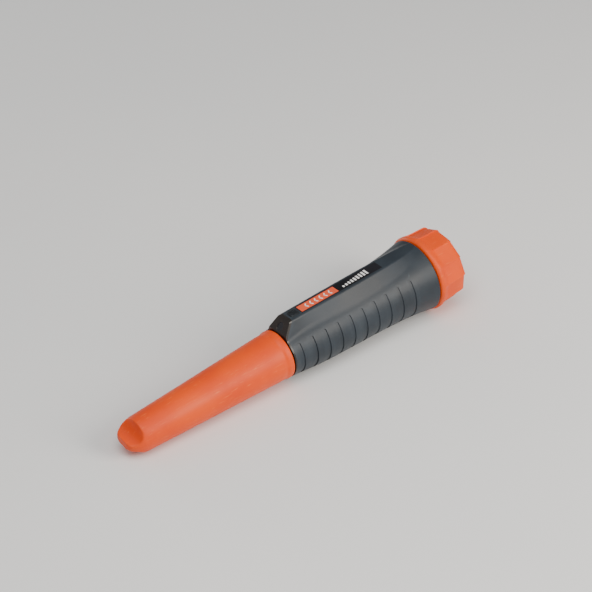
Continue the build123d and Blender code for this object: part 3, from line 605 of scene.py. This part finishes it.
# thread inside: a small ridge swept by the screw modifier
THREAD_PITCH, THREAD_TURNS, THREAD_STEPS = 3.0, 2.25, 144
RIDGE_WIDTH, RIDGE_ROOT, RIDGE_CREST, RIDGE_SLANT = 1.1, 0.2, 1.1, 0.25
ridge_x = CAP_FRONT + 5.5
bpy.ops.mesh.primitive_plane_add(size=1, location=(ridge_x * MM, 0, BORE * MM))
ridge = bpy.context.object
ridge.scale = (RIDGE_WIDTH * MM, 1, 1)
bpy.ops.object.transform_apply(location=True, rotation=True, scale=True)
for vertex in ridge.data.vertices:
    root = vertex.co.y > 0
    vertex.co.z = (BORE + RIDGE_ROOT if root else BORE - RIDGE_CREST) * MM
    if not root:
        vertex.co.x += (RIDGE_SLANT if vertex.co.x < ridge_x * MM else -RIDGE_SLANT) * MM
    vertex.co.y = 0
apply_modifier(
    ridge, "SCREW", axis="X", angle=THREAD_TURNS * math.tau, screw_offset=THREAD_TURNS * THREAD_PITCH * MM,
    steps=THREAD_STEPS, render_steps=THREAD_STEPS,
)
start_edit(ridge, "EDGE")
bpy.ops.mesh.select_all(action="SELECT")
bpy.ops.mesh.fill_holes(sides=0)
bpy.ops.object.mode_set(mode="OBJECT")
cap = join_all("faceted_cap", [cap, ridge])
finish_piece(cap, "cap", "orange_plastic")
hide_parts("battery_cap")

# %% [markdown]
# ### The power key
# The key starts as a box as thick as its rim. Its upright edges are bevelled round, its top is inset and
# raised three times into a dome, and the middle of its underside is inset and extruded down to make the stem.

# %% Power key
KEY_RIM = 1.5
STEM_INSET = 1.9
DOME_RISE, KEY_CORNER = 0.35, 1.7
DOME_STEPS = ((0.25, 0.2), (0.7, 0.12), (1.0, 0.03))
key_low, key_high = [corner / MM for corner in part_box("power_button")]
rim_low = (key_low.x, key_low.y, key_high.z - KEY_RIM)
rim_high = (key_high.x, key_high.y, key_high.z - DOME_RISE)
key = solid_box("key_dome", rim_low, rim_high)
start_edit(key, "EDGE")
choose(key, "edges", rises(key, 0.1))
bpy.ops.mesh.bevel(offset=KEY_CORNER * MM, segments=5)
bpy.ops.mesh.select_mode(type="FACE")
choose(key, "polygons", lambda f: f.normal.z > 0.9)
for inward, rise in DOME_STEPS:
    bpy.ops.mesh.inset(thickness=inward * MM)
    bpy.ops.transform.translate(value=(0, 0, rise * MM))
choose(key, "polygons", lambda f: f.normal.z < -0.9)
bpy.ops.mesh.inset(thickness=STEM_INSET * MM)
stem_drop = (key_low.z - key_high.z + KEY_RIM) * MM
bpy.ops.mesh.extrude_region_move(TRANSFORM_OT_translate={"value": (0, 0, stem_drop)})
finish_piece(key, "button", "button_rubber")
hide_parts("power_button")

# %% [markdown]
# ### The printed marks
# Ink stands a few hundredths of a millimetre proud. Each mark is a thin slab; a chevron is two slanted
# ones. The slabs of one ink are joined, because they were printed in one pass.

# %% Label marks
INK, INK_ROOT, MARK_CORNER = 0.04, -0.02, 0.22
BARS, BAR_WIDTH, BAR_STEP, BAR_MARGIN, BAR_FOOT = 9, 1.3, 2.3, 5.0, 2.25
SHORT_BAR, BAR_GROWTH = 1.6, 2.9
CHEVRONS, CHEVRON_STEP, CHEVRON_MARGIN = 6, 3.6, 5.5
STROKE_LENGTH, STROKE_WIDTH, STROKE_OFF, STROKE_TURN = 0.75, 2.3, 0.85, 32
panel_low, panel_high = [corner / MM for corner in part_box("label_accent")]


def ink_slab(name, x, y, length, width, turn=0.0):
    """A thin slab of ink on the label, turned in its plane by some degrees."""
    slab = solid_box(name, (-length / 2, -width / 2, INK_ROOT), (length / 2, width / 2, INK))
    start_edit(slab, "EDGE")
    choose(slab, "edges", rises(slab, 0.01))
    bpy.ops.mesh.bevel(offset=MARK_CORNER * MM, segments=3)
    bpy.ops.object.mode_set(mode="OBJECT")
    spot = Matrix.Translation(Vector((x, y, SPINE_TOP)) * MM)
    slab.data.transform(spot @ Matrix.Rotation(math.radians(turn), 4, "Z"))
    return slab


bars = []
for i in range(BARS):
    height = SHORT_BAR + BAR_GROWTH * i / (BARS - 1)
    x = panel_high.x + BAR_MARGIN + i * BAR_STEP
    bars.append(ink_slab("bar", x, height / 2 - BAR_FOOT, BAR_WIDTH, height))
level_bars = join_all("level_bars", bars)
finish_piece(level_bars, "handle", "print_ink")

strokes = []
for i in range(CHEVRONS):
    x = panel_low.x + CHEVRON_MARGIN + i * CHEVRON_STEP
    for side in (-1, 1):
        strokes.append(
            ink_slab("stroke", x, side * STROKE_OFF, STROKE_LENGTH, STROKE_WIDTH, turn=-side * STROKE_TURN)
        )
chevrons = join_all("tip_chevrons", strokes)
finish_piece(chevrons, "handle", "print_ink")
